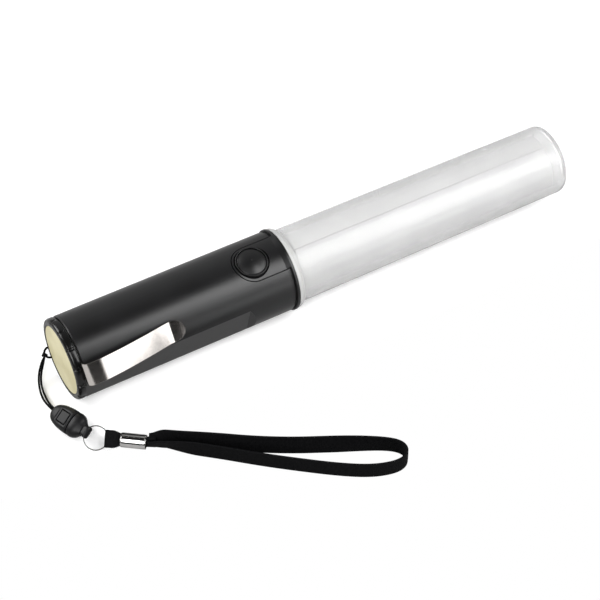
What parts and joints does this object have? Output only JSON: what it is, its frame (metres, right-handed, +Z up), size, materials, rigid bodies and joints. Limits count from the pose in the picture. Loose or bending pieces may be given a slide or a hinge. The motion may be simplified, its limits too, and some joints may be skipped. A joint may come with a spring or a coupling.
{
  "type": "traffic baton light",
  "caption": "Hand-held light baton with black screw-cap handle, push button, steel pocket clip, clear tube and wrist strap.",
  "frame": {"origin": "on the floor that the baton lies on, under the middle of the baton without its lanyard", "axes": "+X along the baton towards the clear tip, +Z up, -Y towards the clip and the wrist strap"},
  "size_m": [0.305, 0.149, 0.0454],
  "materials": {
    "grip_black": "satin black moulded plastic",
    "cap_black": "glossy black moulded plastic",
    "button_rubber": "satin black rubber",
    "clear_tube": "clear moulded polycarbonate",
    "collar_clear": "translucent plastic",
    "diffuser_white": "white translucent film",
    "nickel_steel": "polished nickel-plated steel",
    "label_cream": "cream printed disc, print left out",
    "inner_plastic": "black moulded liner",
    "reflector_white": "white moulded plastic",
    "board_green": "coated circuit board",
    "chip_black": "moulded chip or switch",
    "lamp_red": "tinted lamp body",
    "contact_brass": "brass contact",
    "spring_steel": "bright spring steel",
    "cell_wrap": "wrapped metal can",
    "seal_rubber": "black rubber ring",
    "wire_red": "insulated wire",
    "cord_black": "braided black cord",
    "webbing_black": "satin black ribbed webbing",
    "buckle_black": "fine-textured black plastic"
  },
  "bodies": {
    "handle": {"grip_sleeve": "grip_black", "sleeve_end_ring": "grip_black", "head_ring": "grip_black", "button_seal": "button_rubber", "switch_body": "chip_black", "switch_board": "board_green", "switch_wires": "wire_red", "battery_barrel": "inner_plastic", "battery_cell_rear": "cell_wrap", "battery_cell_front": "cell_wrap", "front_contact": "contact_brass", "contact_carrier": "inner_plastic", "ground_strip": "contact_brass", "clip_ring": "nickel_steel", "light_tube": "clear_tube", "tube_collar": "collar_clear", "diffuser_film": "diffuser_white", "led_board": "board_green", "led_lamps": "lamp_red", "reflector_cup": "reflector_white", "board_screws": "spring_steel", "led_driver": "chip_black"},
    "button": {"button_cap": "button_rubber", "switch_plunger": "chip_black"},
    "clip": {"clip_arm": "nickel_steel"},
    "cap_carriage": {"tail_contact": "contact_brass", "tail_spring": "spring_steel"},
    "cap": {"tail_cap": "cap_black", "cap_label": "label_cream", "tail_o_ring": "seal_rubber", "cord_bight": "cord_black"},
    "lanyard": {"cord_knot": "cord_black", "lanyard_cord_front": "cord_black", "lanyard_cord_back": "cord_black", "buckle_socket": "buckle_black"},
    "latch": {"buckle_latch": "buckle_black"},
    "plug": {"buckle_plug": "buckle_black"},
    "ring": {"split_ring": "nickel_steel"},
    "strap": {"webbing_loop": "webbing_black", "ferrule": "nickel_steel", "wrist_strap": "webbing_black"}
  },
  "joints": [
    {"name": "button_press", "type": "slide", "parent": "handle", "child": "button", "axis": [0, 0.2419, -0.9703], "range_m": [0, 0.001], "stiffness_N_per_m": 1500},
    {"name": "clip_flex", "type": "hinge", "parent": "handle", "child": "clip", "pos_m": [-0.14045, -0.01726, 0.03144], "axis": [0, -0.4226, -0.9063], "range_deg": [0, 7], "stiffness_Nm_per_rad": 2},
    {"name": "cap_travel", "type": "slide", "parent": "handle", "child": "cap_carriage", "axis": [-1, 0, 0], "range_m": [0, 0.0046]},
    {"name": "cap_turn", "type": "hinge", "parent": "cap_carriage", "child": "cap", "pos_m": [-0.145, 0.00256, 0.0222], "axis": [-1, 0, 0], "range_deg": [0, 1080]},
    {"name": "lanyard_swing", "type": "hinge", "parent": "cap", "child": "lanyard", "pos_m": [-0.1472, 0.01916, 0.0106], "axis": [0, 0, 1], "range_deg": [-75, 4]},
    {"name": "latch_press", "type": "slide", "parent": "lanyard", "child": "latch", "axis": [0.4839, 0.0367, -0.8744], "range_m": [0, 0.001], "stiffness_N_per_m": 600},
    {"name": "buckle_pull", "type": "slide", "parent": "lanyard", "child": "plug", "axis": [0.3224, -0.9363, 0.1392], "range_m": [0, 0.012]},
    {"name": "ring_swing", "type": "hinge", "parent": "plug", "child": "ring", "pos_m": [-0.14922, -0.03195, 0.00658], "axis": [-0.8136, -0.3492, -0.4649], "range_deg": [0, 40]},
    {"name": "strap_swing", "type": "hinge", "parent": "ring", "child": "strap", "pos_m": [-0.14107, -0.0398, 0.00438], "axis": [0.4613, 0.6882, 0.56], "range_deg": [-25, 20]}
  ],
  "couplings": [
    {"joint": "cap_travel", "follows": "cap_turn", "m_per_rad": 0.00023873}
  ]
}
